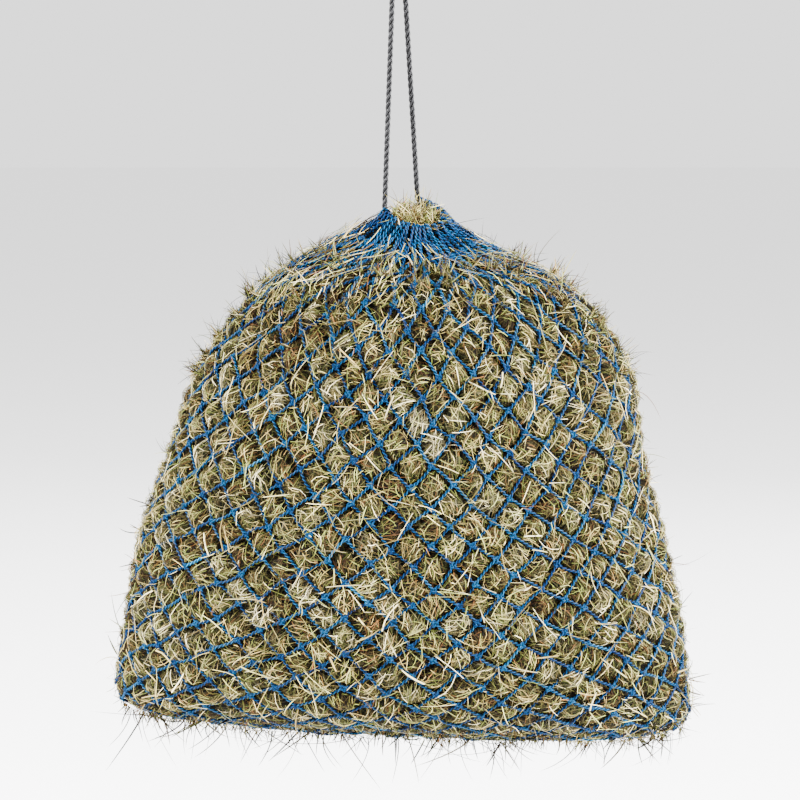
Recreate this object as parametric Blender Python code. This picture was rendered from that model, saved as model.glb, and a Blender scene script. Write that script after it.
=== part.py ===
"""A filled hay net: knotted twine netting round flakes of hay, hung by its draw rope.

Metres, +Z up, front towards -Y. The origin is where a hook bears inside the hanging loop, and the bag
hangs below it. A course is one row of half meshes: twine that runs in a zigzag right round the bag.
A place on the bag is a turn round it (0 at the front, 0.25 at the right, 0.5 at the back) and a
station down it (0 at the mouth, and the last one in the middle of the base).
"""

import math

import bpy
import numpy as np
from mathutils import Matrix, Vector

ROPE_DIAMETER = 0.0075
TWINE_DIAMETER = 0.003
GAP = 0.0003
ROPE_RADIUS = ROPE_DIAMETER / 2
TWINE_RADIUS = TWINE_DIAMETER / 2

# Hanging loop and knot. The loop's shape is half of its outline, from the knot to its top: the share of
# the loop's half width and of its depth.
LOOP_DROP = 0.065
LOOP_HALF_WIDTH = 0.015
LOOP_SHAPE = ((0.30, 0.88), (0.75, 0.62), (1.00, 0.30), (0.80, 0.06))
KNOT_TURNS = 3
KNOT_RADIUS = 0.011
KNOT_HALF_HEIGHT = KNOT_TURNS * ROPE_RADIUS
KNOT_SIDES = 24
KNOT_STEPS = 5
KNOT_GROOVE = math.radians(75)
PARTING = ROPE_RADIUS + 2 * GAP

# Mouth, which the rope draws shut round the top of the hay. It is higher at its back.
MOUTH_CENTRE = (0.021, -0.0095, -0.434)
MOUTH_HALF_WIDTH = 0.038
MOUTH_SLOPE = (-0.15, 0.70)
ROPE_TURNS = (-0.25, 0.48)
ROPE_MIDDLE = sum(ROPE_TURNS) / 2
ROPE_POINTS = 15
FOOT_TURN = 0.03
FOOT_RISE = 0.009
LEG_CLEARANCE = 0.003

# Bag. Each station is height, middle in X and half width, at the netting.
DEPTH_TO_WIDTH = 0.65
BASE_TAPER = 0.45
BASE_TAPER_STARTS = 5.5
LEAST_LEFT_BY_INSET = 0.2
STATIONS = (
    (MOUTH_CENTRE[2], MOUTH_CENTRE[0], MOUTH_HALF_WIDTH),
    (-0.467, 0.021, 0.092),
    (-0.511, 0.020, 0.178),
    (-0.563, 0.023, 0.233),
    (-0.641, 0.020, 0.281),
    (-0.745, 0.010, 0.307),
    (-0.850, 0.006, 0.339),
    (-0.953, 0.008, 0.360),
    (-1.029, 0.007, 0.372),
    (-1.068, 0.007, 0.374),
    (-1.090, 0.007, 0.356),
    (-1.098, 0.007, 0.302),
    (-1.100, 0.007, 0.180),
    (-1.101, 0.007, 0.022),
)
LAST_STATION = len(STATIONS) - 1
BASE_SLOPE = -0.045
BASE_SLOPE_STARTS = 4
BASE_SLOPE_ENDS = LAST_STATION - 3
MOUTH_SLOPE_ENDS = 2

# Netting
COLUMNS = 32
FRONT_DENSITY = 0.05
MESH_BAR = 0.036
TOP_BAR = 0.046
MOST_SPREAD = 0.8
COURSES_DOWN = 30
GATHER = 0.34
GATHERED_COURSES = 4
BLUNT_COURSES = 4
BLUNT_REACH = 1.1
MITRE_LIMIT = 2.4
SHARPEST_BEND = 0.01
LOOP_CLEARANCE = 5 * GAP
BASE_SKIN = 0.003
BASE_STARTS_BELOW = 0.15
BASE_RINGS = 10

# Hay
HAY_INSET = 0.0065
MOUTH_HAY_INSET = 0.0145
MOUTH_STATIONS = 4
HAY_SIDES = 24
FLAKE_LEVELS = (-0.470, -0.585, -0.690, -0.795, -0.900, -1.005)
LAST_FLAKE_BOTTOM = LAST_STATION - 0.1
RINGS_PER_FLAKE = 2
RINGS_OF_LAST_FLAKE = 6
TUFT_RISE = 0.014
# The tuft's rings above the rim: the share of its rise and of the rim's width.
TUFT_CROWN = ((1.0, 0.35), (0.75, 0.80))
TUFT_FOOT_WIDTH = 0.55

# Steps in which curves are measured, and in which slopes are taken
EDGE_STEPS = 720
DEPTH_STEPS = 900
ROUTE_STEPS = 40
SLOPE_STEP = 0.004
TURN_STEP = 0.002

COLOURS = {
    "draw_rope_black": ((0.012, 0.012, 0.014, 1), 0.40),
    "net_twine_blue": ((0.010, 0.095, 0.420, 1), 0.35),
    "hay": ((0.420, 0.340, 0.160, 1), 0.85),
}


def clear_scene():
    for obj in list(bpy.data.objects):
        bpy.data.objects.remove(obj, do_unlink=True)


def material(name):
    colour, roughness = COLOURS[name]
    made = bpy.data.materials.get(name) or bpy.data.materials.new(name)
    made.use_nodes = True
    shader = made.node_tree.nodes["Principled BSDF"]
    shader.inputs["Base Color"].default_value = colour
    shader.inputs["Roughness"].default_value = roughness
    shader.inputs["Metallic"].default_value = 0
    return made


def add_pivot(name, location, parent=None):
    """An empty on a joint's axis. Location is in the world."""
    pivot = bpy.data.objects.new(name, None)
    bpy.context.scene.collection.objects.link(pivot)
    pivot.parent = parent
    pivot.location = Vector(location) - (parent.matrix_world.translation if parent else Vector())
    bpy.context.view_layer.update()
    return pivot


def add_object(name, data, material_name, pivot):
    """Puts data made in world coordinates into the scene under a pivot."""
    data.transform(Matrix.Translation(-pivot.matrix_world.translation))
    data.materials.append(material(material_name))
    obj = bpy.data.objects.new(name, data)
    bpy.context.scene.collection.objects.link(obj)
    obj.parent = pivot
    return obj


def catmull_rom(points, places):
    """Points at the places, counted in steps, on a smooth curve through the given points."""
    points = np.asarray(points, float)
    padded = np.vstack([2 * points[0] - points[1], points, 2 * points[-1] - points[-2]])
    places = np.clip(np.asarray(places, float), 0, len(points) - 1)
    first = np.minimum(places.astype(int), len(points) - 2)
    t = (places - first)[..., None]
    before, start, end, after = (padded[first + i] for i in range(4))
    slope_in = (end - before) / 2
    slope_out = (after - start) / 2
    rise = end - start
    cubic = slope_in + slope_out - 2 * rise
    square = 3 * rise - 2 * slope_in - slope_out
    return start + t * (slope_in + t * (square + t * cubic))


def smooth_route(points, spacing):
    """The points of a cord, about a spacing apart, on a smooth curve through its route."""
    fine = catmull_rom(points, np.linspace(0, len(points) - 1, ROUTE_STEPS * len(points)))
    length = np.concatenate([[0], np.cumsum(np.linalg.norm(np.diff(fine, axis=0), axis=1))])
    even = np.linspace(0, length[-1], max(2, round(length[-1] / spacing)) + 1)
    return np.column_stack([np.interp(even, length, fine[:, axis]) for axis in range(3)])


def add_rope(name, route, pivot):
    """A round rope along a route, as a filled tube."""
    curve = bpy.data.curves.new(name, "CURVE")
    curve.dimensions = "3D"
    curve.bevel_depth = ROPE_RADIUS
    curve.bevel_resolution = 2
    curve.use_fill_caps = True
    points = smooth_route(route, 2 * ROPE_DIAMETER)
    spline = curve.splines.new("POLY")
    spline.points.add(len(points) - 1)
    for spline_point, point in zip(spline.points, points):
        spline_point.co = (*point, 1)
    return add_object(name, curve, "draw_rope_black", pivot)


def loft(name, rings, material_name, pivot):
    """A closed solid through rings of equal counts, from its top to its bottom, with flat ends."""
    rings = np.asarray(rings)
    layers, sides = rings.shape[:2]
    index = np.arange(layers * sides).reshape(layers, sides)
    onward = np.roll(index, -1, axis=1)
    quads = np.stack([index[:-1], index[1:], onward[1:], onward[:-1]], axis=-1).reshape(-1, 4)
    mesh = bpy.data.meshes.new(name)
    ends = [index[0].tolist(), index[-1, ::-1].tolist()]
    mesh.from_pydata(rings.reshape(-1, 3).tolist(), [], quads.tolist() + ends)
    return add_object(name, mesh, material_name, pivot)


def add_twine_ring(name, points, outward, pivot):
    """Three-sided twine along a closed zigzag of points, one corner facing outward, mitred at each bend."""
    ahead = np.roll(points, -1, axis=0) - points
    ahead /= np.linalg.norm(ahead, axis=1, keepdims=True)
    behind = np.roll(ahead, 1, axis=0)
    tangent = ahead + behind
    tangent /= np.linalg.norm(tangent, axis=1, keepdims=True)
    side = np.cross(outward, tangent)
    side /= np.linalg.norm(side, axis=1, keepdims=True)
    face = np.cross(tangent, side)
    bend = np.maximum((tangent * ahead).sum(axis=1), SHARPEST_BEND)
    mitre = np.minimum(1 / bend, MITRE_LIMIT)[:, None]
    corners = [
        points + TWINE_RADIUS * (math.cos(turn) * face + math.sin(turn) * side * mitre)
        for turn in (0, math.tau / 3, 2 * math.tau / 3)
    ]
    index = np.arange(3 * len(points)).reshape(3, -1)
    onward = np.roll(index, -1, axis=1)
    beside = np.roll(index, -1, axis=0)
    faces = np.stack([index, onward, np.roll(onward, -1, axis=0), beside], axis=-1).reshape(-1, 4)
    mesh = bpy.data.meshes.new(name)
    mesh.from_pydata(np.concatenate(corners).tolist(), [], faces.tolist())
    return add_object(name, mesh, "net_twine_blue", pivot)


def ellipse_angle(turn):
    """The angle at which an ellipse of the bag's shape is a given part of the way round its edge."""
    angle = np.linspace(0, math.tau, EDGE_STEPS + 1)
    x, y = np.sin(angle), -DEPTH_TO_WIDTH * np.cos(angle)
    edge = np.concatenate([[0], np.cumsum(np.hypot(np.diff(x), np.diff(y)))])
    whole = np.floor(turn)
    return math.tau * whole + np.interp((turn - whole) * edge[-1], edge, angle)


def depth_to_width(station):
    """How deep the bag is for its width. It is shallower towards its base, where its front curves under."""
    near_base = np.clip((station - BASE_TAPER_STARTS) / (BASE_SLOPE_ENDS - BASE_TAPER_STARTS), 0, 1)
    return DEPTH_TO_WIDTH * (1 - BASE_TAPER * near_base**2)


def bag_points(turn, station, inset=0.0):
    """Points on the netting, or an inset inside it."""
    turn, station = np.broadcast_arrays(np.asarray(turn, float), np.asarray(station, float))
    height, middle, half_width = np.moveaxis(catmull_rom(STATIONS, station), -1, 0)
    angle = ellipse_angle(turn)
    least = LEAST_LEFT_BY_INSET * half_width
    narrowed = np.maximum(half_width - inset, least)
    shallowed = np.maximum(depth_to_width(station) * half_width - inset, least)
    x = narrowed * np.sin(angle)
    y = -shallowed * np.cos(angle)
    near_mouth = np.clip(1 - station / MOUTH_SLOPE_ENDS, 0, 1)
    near_base = np.clip((station - BASE_SLOPE_STARTS) / (BASE_SLOPE_ENDS - BASE_SLOPE_STARTS), 0, 1)
    tilt = near_mouth * (MOUTH_SLOPE[0] * x + MOUTH_SLOPE[1] * y) + near_base * BASE_SLOPE * x
    return np.stack([middle + x, near_mouth * MOUTH_CENTRE[1] + y, height + tilt], axis=-1)


def bag_normals(turn, station):
    """Unit vectors out of the netting."""
    around = bag_points(turn + SLOPE_STEP, station) - bag_points(turn - SLOPE_STEP, station)
    down = bag_points(turn, station + SLOPE_STEP) - bag_points(turn, station - SLOPE_STEP)
    normal = np.cross(down, around)
    return normal / np.linalg.norm(normal, axis=-1, keepdims=True)


def spread(turn):
    """Where round the bag the netting's own turn comes. Its columns are closer at the front and back."""
    return turn - FRONT_DENSITY / (2 * math.tau) * np.sin(2 * math.tau * turn)


def row_stations():
    """The station of each row of knots on each half column, as rows x half columns.

    Every bar keeps its length, so the rows are closer where the columns are spread.
    """
    turns = spread(np.arange(2 * COLUMNS) / (2 * COLUMNS))
    stations = np.linspace(0, LAST_STATION, DEPTH_STEPS)
    surface = bag_points(turns[:, None], stations[None, :])
    steps = np.linalg.norm(np.diff(surface, axis=1), axis=2)
    length = np.concatenate([np.zeros((len(turns), 1)), np.cumsum(steps, axis=1)], axis=1)
    gaps = np.linalg.norm(surface - np.roll(surface, 1, axis=0), axis=2)
    spacing = (gaps + np.roll(gaps, -1, axis=0)) / 2
    rows = [np.zeros(len(turns))]
    for course in range(COURSES_DOWN):
        bar = TOP_BAR if course == 0 else MESH_BAR
        here = [np.interp(at, reach, stations) for at, reach in zip(rows[-1], length)]
        half_mesh = np.array([np.interp(at, stations, half) for at, half in zip(here, spacing)])
        rows.append(rows[-1] + np.sqrt(bar**2 - np.minimum(half_mesh, MOST_SPREAD * bar) ** 2))
    return np.array([[np.interp(at, reach, stations) for at, reach in zip(row, length)] for row in rows])


def knot_turns(row):
    """Where round the bag a row's knots are. They bunch towards the rope, away from the back left.

    An odd row's first knot is on the seam, in the middle of the gap that the rope leaves.
    """
    from_middle = (np.arange(COLUMNS) + (0.5 if row % 2 == 0 else 0)) / COLUMNS - 0.5
    bunched = (1 - GATHER * max(0, 1 - row / GATHERED_COURSES)) * from_middle
    return spread(ROPE_MIDDLE + np.where(from_middle == -0.5, from_middle, bunched))


def knot_places(row, stations):
    """The turns and stations of a row's knots."""
    half_column = 2 * np.arange(COLUMNS) + (1 if row % 2 == 0 else 0)
    nearest = round((ROPE_MIDDLE - 0.5) * 2 * COLUMNS) + half_column
    return knot_turns(row), stations[row][nearest % (2 * COLUMNS)]


def offset_along(turn, station, distance):
    """The points a distance down the bag from the given places, and the directions out of it there."""
    down = bag_points(turn, station + SLOPE_STEP) - bag_points(turn, station - SLOPE_STEP)
    down /= np.linalg.norm(down, axis=-1, keepdims=True)
    return bag_points(turn, station) + distance * down, bag_normals(turn, station)


def zigzag(upper, lower):
    """Two rows of points taken in turn, where the upper row starts half a column after the lower one."""
    return np.stack([lower, upper], axis=1).reshape(-1, 3)


def add_course(row, stations, pivot):
    """The zigzag between two rows of knots. It stops just short of the courses that it is tied to."""
    tops, bottoms = knot_places(row, stations), knot_places(row + 1, stations)
    if row % 2 == 1:
        # An odd row starts on the seam, so its upper knots come before the lower ones.
        bottoms = tuple(np.roll(values, 1) for values in bottoms)
        bottoms[0][0] -= 1
    blunt = row < BLUNT_COURSES
    clearance = TWINE_RADIUS * (BLUNT_REACH if blunt else MITRE_LIMIT) + GAP
    upper, upper_out = offset_along(*tops, clearance)
    lower, lower_out = offset_along(*bottoms, -clearance)
    points, outward = zigzag(upper, lower), zigzag(upper_out, lower_out)
    if blunt:
        along = np.roll(points, -1, axis=0) - np.roll(points, 1, axis=0)
        along *= TWINE_RADIUS / np.linalg.norm(along, axis=1, keepdims=True)
        points = np.stack([points - along, points + along], axis=1).reshape(-1, 3)
        outward = np.repeat(outward, 2, axis=0)
    return add_twine_ring(f"net_course_{row + 1:02d}", points, outward, pivot)


def rim_points(turn):
    """Points on the middle line of the draw rope round the mouth."""
    return bag_points(turn, np.zeros_like(np.asarray(turn, float)))


def add_top_course(stations, pivot):
    """The first course: each mesh loops over the draw rope and comes back under it."""
    turns = knot_turns(0)
    centre = rim_points(turns)
    along = rim_points(turns + TURN_STEP) - rim_points(turns - TURN_STEP)
    along /= np.linalg.norm(along, axis=1, keepdims=True)
    pull = bag_points(turns, np.ones_like(turns)) - centre
    pull -= (pull * along).sum(axis=1, keepdims=True) * along
    pull /= np.linalg.norm(pull, axis=1, keepdims=True)
    over = np.cross(pull, along)
    clear = ROPE_RADIUS + TWINE_RADIUS + LOOP_CLEARANCE
    above = centre - clear * pull + clear * over
    below = centre - clear * pull - clear * over
    low_turns, low_stations = knot_places(1, stations)
    knots, knots_out = offset_along(low_turns, low_stations, -TWINE_RADIUS - GAP)
    after, before = (bag_points(low_turns + step, low_stations) for step in (TURN_STEP, -TURN_STEP))
    beside = (after - before) * TWINE_RADIUS / np.linalg.norm(after - before, axis=1, keepdims=True)
    # Twine that goes round the rope comes back the other way up, so every second loop starts that way.
    way_up = np.where(np.arange(COLUMNS) % 2 == 0, 1, -1)[:, None]
    knots_out = way_up * knots_out
    above_out, below_out = way_up * (over - pull), way_up * (-over - pull)
    # The first loop starts below the rope, so that both twines from the seam pass under the rope's ends.
    above[0], below[0] = below[0].copy(), above[0].copy()
    above_out[0], below_out[0] = -below_out[0], -above_out[0]
    points = np.stack([knots - beside, knots + beside, above, below], axis=1).reshape(-1, 3)
    outward = np.stack([knots_out, knots_out, above_out, below_out], axis=1).reshape(-1, 3)
    return add_twine_ring("net_course_01", points, outward, pivot)


def add_netting(pivot):
    stations = row_stations()
    add_top_course(stations, pivot)
    for row in range(1, COURSES_DOWN):
        add_course(row, stations, pivot)
    add_net_base(stations[-1], pivot)


def add_net_base(last_row, pivot):
    """The meshes under the base, as one plain skin from below the last row of knots to the middle."""
    turns = spread(np.arange(2 * COLUMNS) / (2 * COLUMNS))
    edge = np.interp(np.arange(HAY_SIDES) / HAY_SIDES, turns, last_row, period=1) + BASE_STARTS_BELOW
    levels = [edge + (LAST_STATION - edge) * part for part in np.linspace(0, 1, BASE_RINGS)]
    outer = [section(station, 0) for station in levels]
    inner = [section(station, BASE_SKIN) + [0, 0, BASE_SKIN] for station in reversed(levels)]
    loft("net_base", [*inner, *outer], "net_twine_blue", pivot)


def section(station, inset):
    """One ring round the bag, an inset inside the netting."""
    return bag_points(np.arange(HAY_SIDES) / HAY_SIDES, np.full(HAY_SIDES, station), inset)


def hay_inset(station):
    """How far inside the netting the hay stays. It is most at the mouth, where the netting is bunched."""
    return HAY_INSET + (MOUTH_HAY_INSET - HAY_INSET) * max(0, 1 - station / MOUTH_STATIONS)


def station_at(height):
    """The station at a height, above the base's edge."""
    stations = np.linspace(0, BASE_SLOPE_ENDS - 1, DEPTH_STEPS)
    heights = catmull_rom(STATIONS, stations)[:, 0]
    return float(np.interp(-height, -heights, stations))


def add_hay_flakes(pivot):
    """Flakes of a bale, pushed in one on another. Each fills the bag from wall to wall."""
    levels = [station_at(height) for height in FLAKE_LEVELS] + [LAST_FLAKE_BOTTOM]
    last = len(FLAKE_LEVELS)
    for number, (top, bottom) in enumerate(zip(levels, levels[1:]), start=1):
        rings = RINGS_OF_LAST_FLAKE if number == last else RINGS_PER_FLAKE
        sections = [section(station, hay_inset(station)) for station in np.linspace(top, bottom, rings + 1)]
        sections[0] = sections[0] - [0, 0, GAP]
        sections[-1] = sections[-1] + [0, 0, GAP]
        if number == last:
            # The base curves in, so the flake on it is lifted off it step by step.
            sections = [ring + [0, 0, HAY_INSET * place / rings] for place, ring in enumerate(sections)]
        loft(f"hay_flake_{number}", sections, "hay", pivot)


def add_hay_tuft(pivot):
    """The hay that stands in the mouth, above the top flake."""
    top_flake = section(station_at(FLAKE_LEVELS[0]), HAY_INSET + MOUTH_HAY_INSET)
    middle = top_flake.mean(axis=0)
    rim = section(0, MOUTH_HAY_INSET)
    rim_middle = rim.mean(axis=0)
    crown = [rim_middle + [0, 0, rise * TUFT_RISE] + width * (rim - rim_middle) for rise, width in TUFT_CROWN]
    foot = middle + [0, 0, GAP] + TUFT_FOOT_WIDTH * (top_flake - middle)
    loft("hay_tuft", [*crown, rim, foot], "hay", pivot)


def feet():
    """Where the draw rope leaves the mouth and its two legs begin."""
    return [rim_points(turn) + [0, 0, FOOT_RISE] for turn in ROPE_TURNS]


def draw_rope_route():
    """From the left foot along the front, the right and the back of the mouth, to the right foot."""
    start, end = ROPE_TURNS
    along = np.linspace(start + FOOT_TURN, end - FOOT_TURN, ROPE_POINTS)
    left_foot, right_foot = feet()
    bend = np.array([0, 0, FOOT_RISE / 2])
    return [left_foot, left_foot - bend, *rim_points(along), right_foot - bend, right_foot]


def leg_route(foot, side):
    """From just under the knot, a rope's width from the other leg, to just above its foot."""
    knot_reach = math.hypot(KNOT_RADIUS, KNOT_HALF_HEIGHT) + 2 * GAP
    top = np.array([side * PARTING, 0, -LOOP_DROP - knot_reach])
    pull = (top - foot) / np.linalg.norm(top - foot)
    return [top, foot + LEG_CLEARANCE * pull]


def loop_route():
    """A drop-shaped loop that leaves the knot on one side and comes back to it on the other."""
    base = -LOOP_DROP + KNOT_HALF_HEIGHT + 3 * GAP
    left_side = [(-PARTING, 0, base)]
    left_side += [(-width * LOOP_HALF_WIDTH, 0, depth * base) for width, depth in LOOP_SHAPE]
    right_side = [(-x, y, z) for x, y, z in reversed(left_side)]
    return [*left_side, (0, 0, ROPE_RADIUS), *right_side]


def add_hang_knot(pivot):
    """Turns of rope wound into a round knot, as a turned solid."""
    rings = []
    for turn in range(KNOT_TURNS):
        middle = -LOOP_DROP + KNOT_HALF_HEIGHT - (1 + 2 * turn) * ROPE_RADIUS
        for swing in np.linspace(KNOT_GROOVE, -KNOT_GROOVE, KNOT_STEPS):
            radius = KNOT_RADIUS - ROPE_RADIUS * (1 - math.cos(swing))
            rings.append((radius, middle + ROPE_RADIUS * math.sin(swing)))
    angles = np.arange(KNOT_SIDES) * math.tau / KNOT_SIDES
    sections = [
        np.column_stack([radius * np.sin(angles), -radius * np.cos(angles), np.full(KNOT_SIDES, height)])
        for radius, height in rings
    ]
    loft("hang_knot", sections, "draw_rope_black", pivot)


def main():
    clear_scene()
    left_foot, right_foot = feet()
    hook = add_pivot("hook_point", (0, 0, 0))
    spin = add_pivot("spin_pivot", (0, 0, -LOOP_DROP), hook)
    swing = add_pivot("swing_pivot", (0, 0, -LOOP_DROP), spin)
    tilt = add_pivot("tilt_pivot", (left_foot + right_foot) / 2, swing)
    add_rope("hang_loop", loop_route(), hook)
    add_hang_knot(spin)
    add_rope("rope_leg_left", leg_route(left_foot, -1), swing)
    add_rope("rope_leg_right", leg_route(right_foot, 1), swing)
    add_rope("draw_rope", draw_rope_route(), tilt)
    add_netting(tilt)
    add_hay_tuft(tilt)
    add_hay_flakes(tilt)


main()
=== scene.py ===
"""A filled hay net: twisted twine netting over loose hay, hung by its laid draw rope.

Metres, +Z up, front towards -Y, as in the CAD frame. A place on the bag is a turn round it (0 at the
front, 0.25 at the right) and a station down it (0 at the mouth, the last one under the base). Colour
comes from the UV layer: u picks a piece's hue and v how light it is. v holds painted light: painted
shade in grooves, pillow valleys and deep hay, and painted highlights on crests and the top straws,
with some tone in the hay that differs at random.
"""

import math

import bpy
import numpy as np
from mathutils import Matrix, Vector


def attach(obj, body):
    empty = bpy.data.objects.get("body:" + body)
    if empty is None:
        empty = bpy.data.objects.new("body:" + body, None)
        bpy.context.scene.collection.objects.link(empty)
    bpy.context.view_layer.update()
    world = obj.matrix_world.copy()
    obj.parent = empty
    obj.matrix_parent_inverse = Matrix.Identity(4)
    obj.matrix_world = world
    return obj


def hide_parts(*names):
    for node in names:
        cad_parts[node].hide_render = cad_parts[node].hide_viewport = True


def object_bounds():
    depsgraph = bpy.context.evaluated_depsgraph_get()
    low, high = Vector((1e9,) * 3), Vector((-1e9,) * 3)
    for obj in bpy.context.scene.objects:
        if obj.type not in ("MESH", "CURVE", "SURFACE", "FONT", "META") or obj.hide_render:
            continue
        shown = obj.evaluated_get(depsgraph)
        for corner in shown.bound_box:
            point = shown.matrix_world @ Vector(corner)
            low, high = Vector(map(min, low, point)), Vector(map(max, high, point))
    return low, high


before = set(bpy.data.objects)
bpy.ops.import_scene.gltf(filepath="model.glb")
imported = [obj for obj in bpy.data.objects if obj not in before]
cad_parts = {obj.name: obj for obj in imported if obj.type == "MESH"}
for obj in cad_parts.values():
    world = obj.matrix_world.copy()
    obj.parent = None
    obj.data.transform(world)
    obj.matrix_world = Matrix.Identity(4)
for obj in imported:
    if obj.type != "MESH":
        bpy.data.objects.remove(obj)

cad_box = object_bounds()
rng = np.random.default_rng(11)
collection = bpy.context.scene.collection


# --- Camera ---------------------------------------------------------------------------------------

CAMERA_DISTANCE = 5.0
CAMERA_ELEVATION = math.radians(5)
VIEW_WIDTH = 1.04
AIM = Vector((0.0026, 0, -0.6747))


def add_camera():
    data = bpy.data.cameras.new("camera")
    data.angle = 2 * math.atan(VIEW_WIDTH / 2 / CAMERA_DISTANCE)
    camera = bpy.data.objects.new("camera", data)
    back = Vector((0, -math.cos(CAMERA_ELEVATION), math.sin(CAMERA_ELEVATION)))
    camera.location = AIM + CAMERA_DISTANCE * back
    camera.rotation_euler = back.to_track_quat("Z", "Y").to_euler()
    collection.objects.link(camera)
    bpy.context.scene.camera = camera


add_camera()


# --- The bag's shape, as the CAD has it -----------------------------------------------------------

ROPE_DIAMETER = 0.0075
TWINE_DIAMETER = 0.003
GAP = 0.0003
ROPE_RADIUS = ROPE_DIAMETER / 2
TWINE_RADIUS = TWINE_DIAMETER / 2
MOUTH_CENTRE = (0.021, -0.0095, -0.434)
MOUTH_HALF_WIDTH = 0.038
MOUTH_SLOPE = (-0.15, 0.70)
ROPE_TURNS = (-0.25, 0.48)
ROPE_MIDDLE = sum(ROPE_TURNS) / 2
ROPE_POINTS = 15
FOOT_TURN = 0.03
FOOT_RISE = 0.009
DEPTH_TO_WIDTH = 0.65
BASE_TAPER = 0.45
BASE_TAPER_STARTS = 5.5
BASE_EDGE_STATION = 9.5
STATIONS = (
    (MOUTH_CENTRE[2], MOUTH_CENTRE[0], MOUTH_HALF_WIDTH),
    (-0.467, 0.021, 0.092),
    (-0.511, 0.020, 0.178),
    (-0.563, 0.023, 0.233),
    (-0.641, 0.020, 0.281),
    (-0.745, 0.010, 0.307),
    (-0.850, 0.006, 0.339),
    (-0.953, 0.008, 0.360),
    (-1.029, 0.007, 0.372),
    (-1.068, 0.007, 0.374),
    (-1.090, 0.007, 0.356),
    (-1.098, 0.007, 0.302),
    (-1.100, 0.007, 0.180),
    (-1.101, 0.007, 0.022),
)
LAST_STATION = len(STATIONS) - 1
BASE_SLOPE = -0.045
BASE_SLOPE_STARTS = 4
BASE_SLOPE_ENDS = LAST_STATION - 3
MOUTH_SLOPE_ENDS = 2

COLUMNS = 32
FRONT_DENSITY = 0.05
MESH_BAR = 0.036
TOP_BAR = 0.046
MOST_SPREAD = 0.8
COURSES_DOWN = 30
BASE_COURSES = 8
GATHER = 0.34
GATHERED_COURSES = 4

# Steps in which curves are measured, and in which slopes are taken
ROUTE_STEPS = 40
EDGE_STEPS = 720
SPREAD_STEPS = 360
DEPTH_STEPS = 900
SLOPE_STEP = 0.004
TURN_STEP = 0.002
TINY = 1e-12


def unit(vectors):
    return vectors / np.maximum(np.linalg.norm(vectors, axis=-1, keepdims=True), TINY)


def catmull_rom(points, places):
    """Points at the places, counted in steps, on a smooth curve through the given points."""
    points = np.asarray(points, float)
    padded = np.vstack([2 * points[0] - points[1], points, 2 * points[-1] - points[-2]])
    places = np.clip(np.asarray(places, float), 0, len(points) - 1)
    first = np.minimum(places.astype(int), len(points) - 2)
    t = (places - first)[..., None]
    before, start, end, after = (padded[first + i] for i in range(4))
    slope_in = (end - before) / 2
    slope_out = (after - start) / 2
    rise = end - start
    cubic = slope_in + slope_out - 2 * rise
    square = 3 * rise - 2 * slope_in - slope_out
    return start + t * (slope_in + t * (square + t * cubic))


def even_points(points, spacing):
    """Points about a spacing apart on a smooth curve through a route."""
    fine = catmull_rom(points, np.linspace(0, len(points) - 1, ROUTE_STEPS * len(points)))
    length = np.concatenate([[0], np.cumsum(np.linalg.norm(np.diff(fine, axis=0), axis=1))])
    even = np.linspace(0, length[-1], max(2, round(length[-1] / spacing)) + 1)
    return np.column_stack([np.interp(even, length, fine[:, axis]) for axis in range(3)])


def ellipse_angle(turn):
    """The angle at which an ellipse of the bag's shape is a given part of the way round its edge."""
    angle = np.linspace(0, math.tau, EDGE_STEPS + 1)
    x, y = np.sin(angle), -DEPTH_TO_WIDTH * np.cos(angle)
    edge = np.concatenate([[0], np.cumsum(np.hypot(np.diff(x), np.diff(y)))])
    whole = np.floor(turn)
    return math.tau * whole + np.interp((turn - whole) * edge[-1], edge, angle)


def depth_to_width(station):
    """How deep the bag is for its width. It is shallower towards its base, where its front curves under."""
    near_base = np.clip((station - BASE_TAPER_STARTS) / (BASE_SLOPE_ENDS - BASE_TAPER_STARTS), 0, 1)
    return DEPTH_TO_WIDTH * (1 - BASE_TAPER * near_base**2)


def nearness_to_mouth(station):
    """1 at the mouth, and less down to 0 where its slope ends."""
    return np.clip(1 - station / MOUTH_SLOPE_ENDS, 0, 1)


def bag_points(turn, station):
    """Points on the netting."""
    turn, station = np.broadcast_arrays(np.asarray(turn, float), np.asarray(station, float))
    height, middle, half_width = np.moveaxis(catmull_rom(STATIONS, station), -1, 0)
    angle = ellipse_angle(turn)
    x = half_width * np.sin(angle)
    y = -depth_to_width(station) * half_width * np.cos(angle)
    near_mouth = nearness_to_mouth(station)
    near_base = np.clip((station - BASE_SLOPE_STARTS) / (BASE_SLOPE_ENDS - BASE_SLOPE_STARTS), 0, 1)
    tilt = near_mouth * (MOUTH_SLOPE[0] * x + MOUTH_SLOPE[1] * y) + near_base * BASE_SLOPE * x
    return np.stack([middle + x, near_mouth * MOUTH_CENTRE[1] + y, height + tilt], axis=-1)


def bag_slopes(turn, station):
    """How far a point moves for each whole turn and each station."""
    around = bag_points(turn + SLOPE_STEP, station) - bag_points(turn - SLOPE_STEP, station)
    around = around / (2 * SLOPE_STEP)
    above, below = np.maximum(station - SLOPE_STEP, 0), np.minimum(station + SLOPE_STEP, LAST_STATION)
    down = (bag_points(turn, below) - bag_points(turn, above)) / (below - above)[..., None]
    return around, down


def bag_normals(turn, station):
    around, down = bag_slopes(np.asarray(turn, float), np.asarray(station, float))
    return unit(np.cross(down, around))


def spread(turn):
    """Where round the bag the netting's own turn comes. Its columns are closer at the front and back."""
    return turn - FRONT_DENSITY / (2 * math.tau) * np.sin(2 * math.tau * turn)


def unspread(turn):
    """The netting's own turn at a turn round the bag."""
    own = np.linspace(0, 1, SPREAD_STEPS + 1)
    return np.floor(turn) + np.interp(turn % 1, spread(own), own)


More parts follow.
